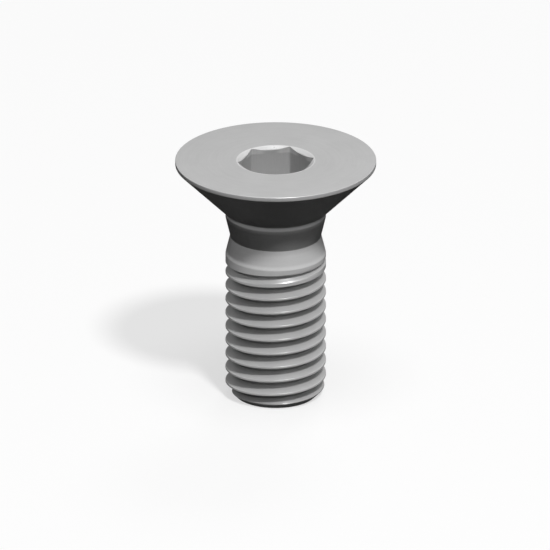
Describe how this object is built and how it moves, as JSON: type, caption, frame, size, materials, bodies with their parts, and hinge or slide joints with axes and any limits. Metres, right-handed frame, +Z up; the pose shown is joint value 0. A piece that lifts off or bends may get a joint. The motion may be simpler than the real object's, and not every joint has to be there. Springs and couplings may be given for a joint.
{
  "type": "countersunk screw",
  "caption": "Countersunk machine screw for flush fastening: conical flat head with a hexagon socket, a waisted neck and a threaded shank with a chamfered point.",
  "frame": {"origin": "centre of the flat end face at the foot of the thread, on which the screw stands", "axes": "+Z up the screw's own axis, from the end face towards the head; a corner of the hexagon socket lies on +X and two of its flats face +Y and -Y"},
  "size_m": [0.024, 0.024, 0.03],
  "materials": {
    "plated_steel": "satin grey zinc plating"
  },
  "bodies": {
    "root": {"countersunk_screw": "plated_steel"}
  },
  "joints": []
}
